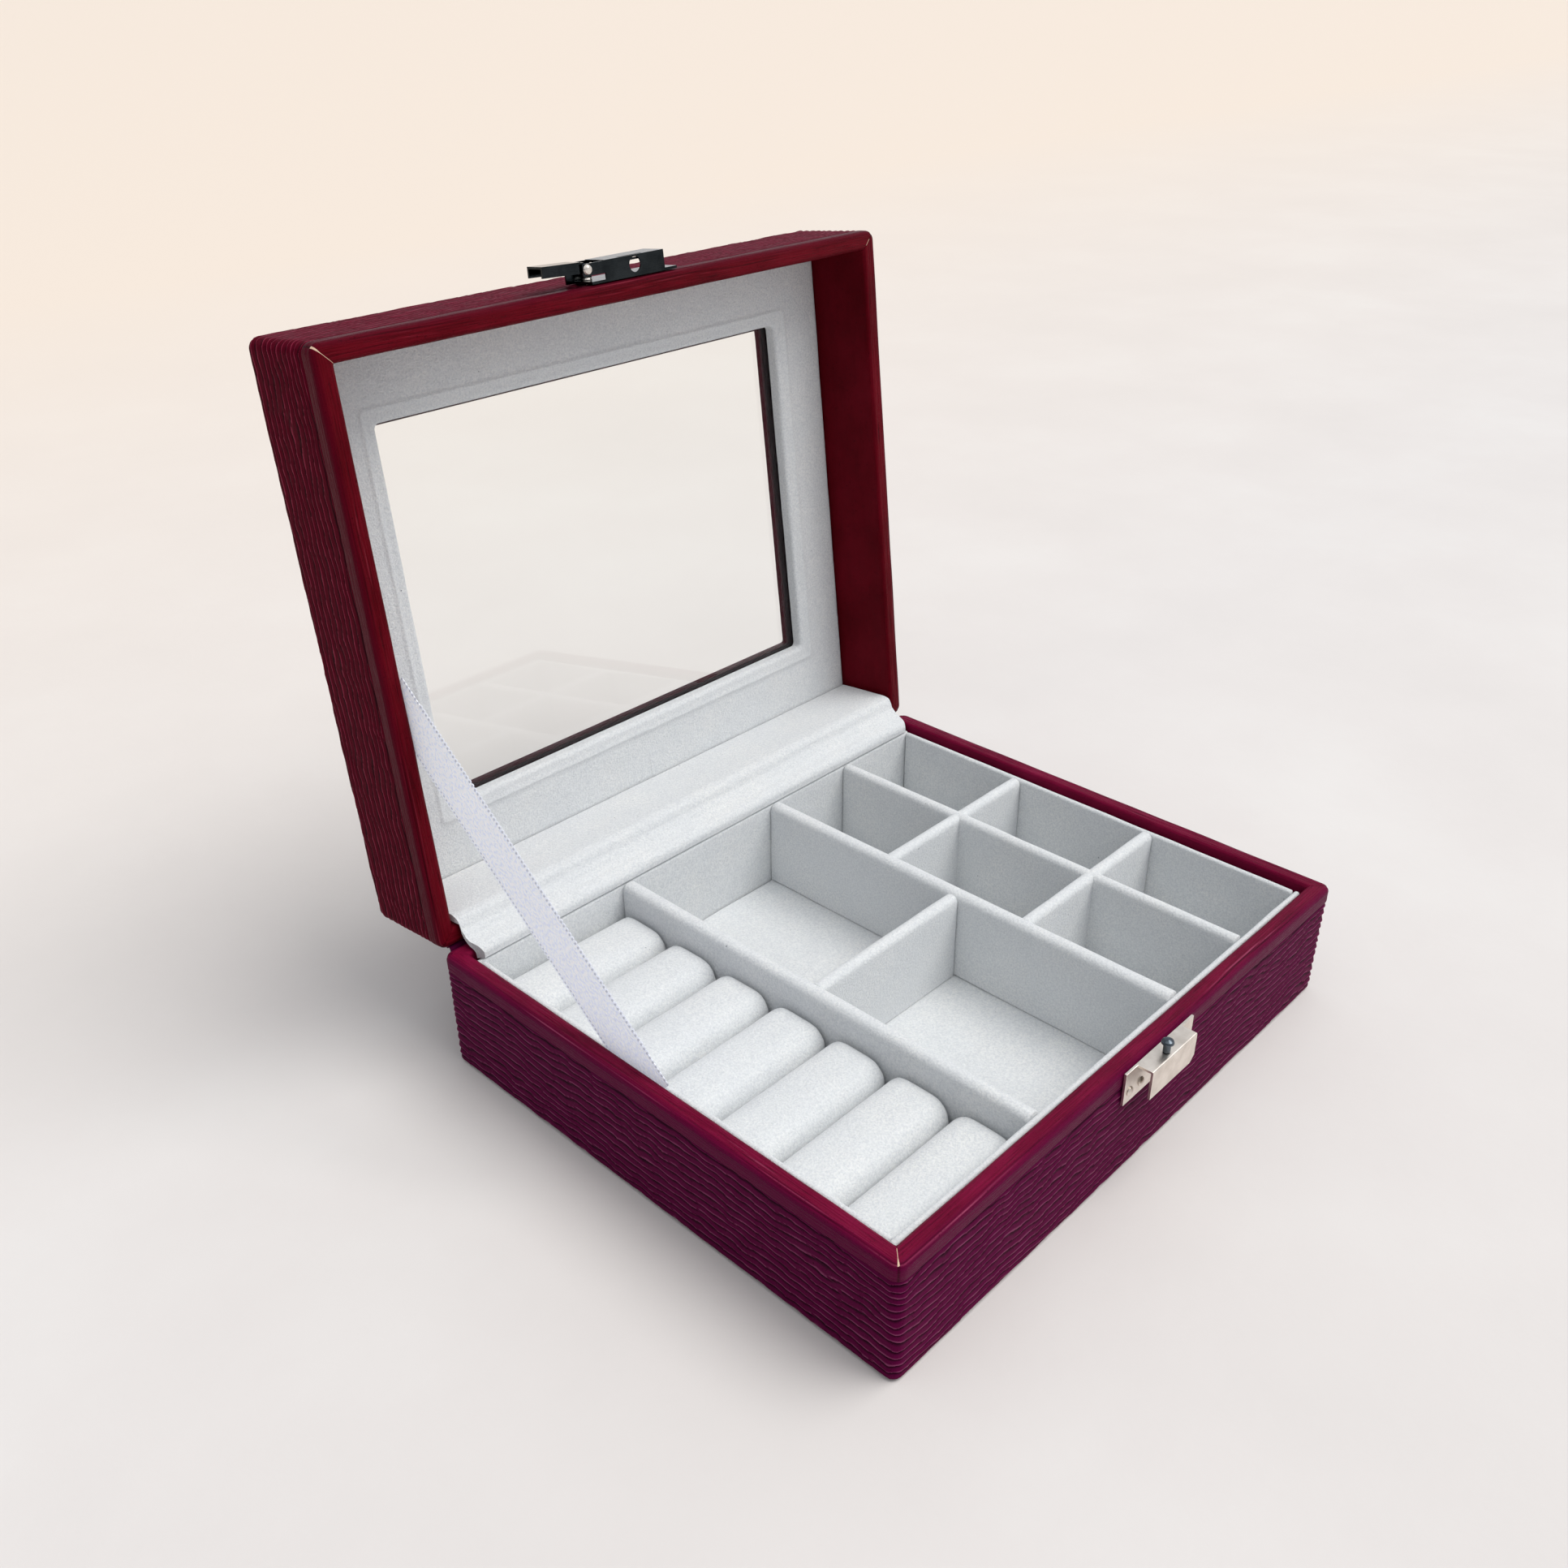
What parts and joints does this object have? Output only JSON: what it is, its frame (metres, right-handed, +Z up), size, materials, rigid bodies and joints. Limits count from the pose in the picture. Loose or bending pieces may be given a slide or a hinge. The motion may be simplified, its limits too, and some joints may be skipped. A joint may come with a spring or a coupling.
{
  "type": "jewellery case",
  "caption": "Rectangular leather-covered jewellery case with a hinged window lid, velvet lining, ring rolls, divided compartments, stay ribbon and side-lever clasp.",
  "frame": {"origin": "middle of the underside, on the surface that the case stands on", "axes": "+X to the right along the front, +Y from the front (clasp side) to the back (hinge side), +Z up; the lid stands open"},
  "size_m": [0.2, 0.2192, 0.2076],
  "materials": {
    "ribbed_leather": "embossed with fine wavy lines, semi-matt, dark maroon",
    "plain_leather": "smooth, slightly creased, soft sheen, crimson",
    "velvet": "short nap, pale silver grey",
    "board": "bare fibreboard, hidden under the covering",
    "underside": "flocked paper, matt",
    "glass": "clear, polished",
    "ribbon": "white satin with looped edges",
    "nickel": "bright warm nickel plate, lightly brushed",
    "pins": "bright plated",
    "stud": "dark bright steel",
    "spring_wire": "drawn wire"
  },
  "bodies": {
    "base": {"base_leather_wrap": "ribbed_leather", "base_front_wall": "board", "base_back_wall": "board", "base_left_wall": "board", "base_right_wall": "board", "base_bottom_panel": "board", "base_rim_band": "plain_leather", "base_underside_cover": "underside", "tray_front_wall": "velvet", "tray_back_wall": "velvet", "tray_left_wall": "velvet", "tray_right_wall": "velvet", "tray_floor": "velvet", "divider_rings": "velvet", "divider_main": "velvet", "divider_small": "velvet", "large_cross_divider": "velvet", "small_cross_divider_1": "velvet", "small_cross_divider_2": "velvet", "ring_roll_1": "velvet", "ring_roll_2": "velvet", "ring_roll_3": "velvet", "ring_roll_4": "velvet", "ring_roll_5": "velvet", "ring_roll_6": "velvet", "ring_roll_7": "velvet", "keeper_body": "nickel", "keeper_stud": "stud", "keeper_nail_1": "pins", "keeper_nail_2": "pins", "keeper_nail_3": "pins", "stay_ribbon": "ribbon", "hinge_velvet_strip": "velvet", "hinge_leather": "ribbed_leather"},
    "lid": {"lid_leather_wrap": "ribbed_leather", "lid_top_frame": "board", "lid_front_wall": "board", "lid_back_wall": "board", "lid_left_wall": "board", "lid_right_wall": "board", "lid_rim_band": "plain_leather", "lid_velvet_mat": "velvet", "window_glass": "glass", "catch_body": "nickel", "catch_pin": "pins", "catch_spring": "spring_wire", "catch_nail_1": "pins", "catch_nail_2": "pins"},
    "catch_lever": {"catch_lever": "nickel"}
  },
  "joints": [
    {"name": "lid_hinge", "type": "hinge", "parent": "base", "child": "lid", "pos_m": [0, 0.0823, 0.0373], "axis": [1, 0, 0], "range_deg": [0, 96.3], "deforming": ["stay_ribbon", "hinge_velvet_strip", "hinge_leather"]},
    {"name": "catch_lever_pivot", "type": "hinge", "parent": "lid", "child": "catch_lever", "pos_m": [-0.0154, 0.10083, 0.20518], "axis": [0, 0.994, -0.1097], "range_deg": [-3.5, 0], "stiffness_Nm_per_rad": 0.05, "springref_deg": 3.44, "deforming": ["catch_spring"]}
  ]
}
